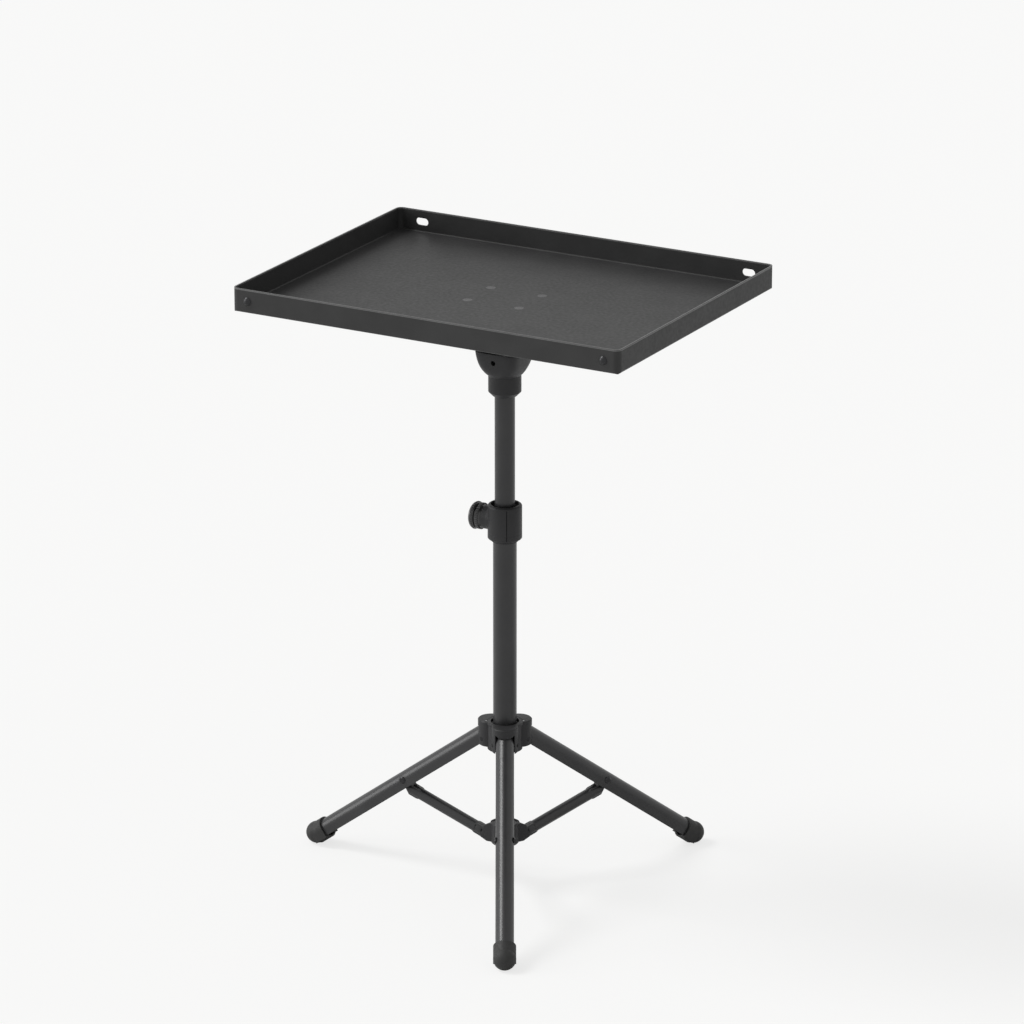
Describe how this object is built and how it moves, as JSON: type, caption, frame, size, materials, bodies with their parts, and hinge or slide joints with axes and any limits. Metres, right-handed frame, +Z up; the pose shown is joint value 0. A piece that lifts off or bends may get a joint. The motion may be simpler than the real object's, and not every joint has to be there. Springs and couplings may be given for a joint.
{
  "type": "tripod stand with tray",
  "caption": "Low black tripod stand with a telescopic column, clamp knob, folding braced legs and a shallow tilting tray for a projector or laptop.",
  "frame": {"origin": "column axis at floor level", "axes": "+X along the tray's front edge, +Y from the tray's front to its back, +Z up along the column"},
  "size_m": [0.4197, 0.3833, 0.6006],
  "materials": {
    "black_paint": "satin black powder coat",
    "tray_paint": "fine textured black powder coat",
    "black_plastic": "satin moulded black",
    "knob_plastic": "smooth moulded black",
    "black_rubber": "matte",
    "dark_steel": "black oxide"
  },
  "bodies": {
    "column": {"lower_tube": "black_paint", "leg_hub": "black_plastic", "hub_pins": "dark_steel", "tube_plug": "black_plastic", "height_collar": "black_plastic"},
    "guide": {"guide_bush": "black_plastic"},
    "mast": {"upper_tube": "black_paint", "head_socket": "black_plastic", "tilt_yoke": "black_plastic", "tilt_bolt": "dark_steel", "tilt_nut": "dark_steel", "yoke_screw": "dark_steel"},
    "tray": {"tray_pan": "tray_paint", "tilt_knuckle": "black_plastic", "mount_screws": "dark_steel", "tray_bolts": "dark_steel"},
    "knob": {"clamp_knob": "knob_plastic", "clamp_screw": "dark_steel"},
    "leg_1": {"leg_1": "black_paint", "foot_1": "black_rubber", "stay_rivet_1": "dark_steel"},
    "leg_2": {"leg_2": "black_paint", "foot_2": "black_rubber", "stay_rivet_2": "dark_steel"},
    "leg_3": {"leg_3": "black_paint", "foot_3": "black_rubber", "stay_rivet_3": "dark_steel"},
    "stay_1": {"stay_1": "black_paint"},
    "stay_2": {"stay_2": "black_paint"},
    "stay_3": {"stay_3": "black_paint"},
    "spider": {"spider": "black_plastic", "spider_pins": "dark_steel"}
  },
  "joints": [
    {"name": "mast_height", "type": "slide", "parent": "column", "child": "guide", "axis": [0, 0, 1], "range_m": [-0.09, 0.11]},
    {"name": "mast_swivel", "type": "hinge", "parent": "guide", "child": "mast", "pos_m": [0, 0, 0.25], "axis": [0, 0, 1], "continuous": true},
    {"name": "tray_tilt", "type": "hinge", "parent": "mast", "child": "tray", "pos_m": [0, 0, 0.549], "axis": [1, 0, 0], "range_deg": [-30, 30]},
    {"name": "knob_turn", "type": "hinge", "parent": "column", "child": "knob", "pos_m": [-0.02, 0, 0.364], "axis": [-1, 0, 0], "range_deg": [0, 360]},
    {"name": "leg_1_fold", "type": "hinge", "parent": "column", "child": "leg_1", "pos_m": [0.00897, -0.01618, 0.14663], "axis": [0.8746, 0.4848, 0], "range_deg": [0, 38]},
    {"name": "leg_2_fold", "type": "hinge", "parent": "column", "child": "leg_2", "pos_m": [0.00953, 0.01586, 0.14663], "axis": [-0.8572, 0.515, 0], "range_deg": [0, 38]},
    {"name": "leg_3_fold", "type": "hinge", "parent": "column", "child": "leg_3", "pos_m": [-0.0185, 0.00032, 0.14663], "axis": [-0.0175, -0.9998, 0], "range_deg": [0, 38]},
    {"name": "stay_1_hinge", "type": "hinge", "parent": "leg_1", "child": "stay_1", "pos_m": [0.05236, -0.09446, 0.08639], "axis": [0.8746, 0.4848, 0], "range_deg": [-84.9, 0]},
    {"name": "stay_2_hinge", "type": "hinge", "parent": "leg_2", "child": "stay_2", "pos_m": [0.05562, 0.09257, 0.08639], "axis": [-0.8572, 0.515, 0], "range_deg": [-84.9, 0]},
    {"name": "stay_3_hinge", "type": "hinge", "parent": "leg_3", "child": "stay_3", "pos_m": [-0.10798, 0.00188, 0.08639], "axis": [-0.0175, -0.9998, 0], "range_deg": [-84.9, 0]},
    {"name": "spider_hinge", "type": "hinge", "parent": "stay_1", "child": "spider", "pos_m": [0.00848, -0.01531, 0.04688], "axis": [0.8746, 0.4848, 0], "range_deg": [0, 46.9]}
  ],
  "couplings": [
    {"joint": "leg_2_fold", "follows": "leg_1_fold", "ratio": 1},
    {"joint": "leg_3_fold", "follows": "leg_1_fold", "ratio": 1},
    {"joint": "stay_1_hinge", "follows": "leg_1_fold", "ratio": -2.234},
    {"joint": "stay_2_hinge", "follows": "leg_1_fold", "ratio": -2.234},
    {"joint": "stay_3_hinge", "follows": "leg_1_fold", "ratio": -2.234},
    {"joint": "spider_hinge", "follows": "leg_1_fold", "ratio": 1.234}
  ]
}
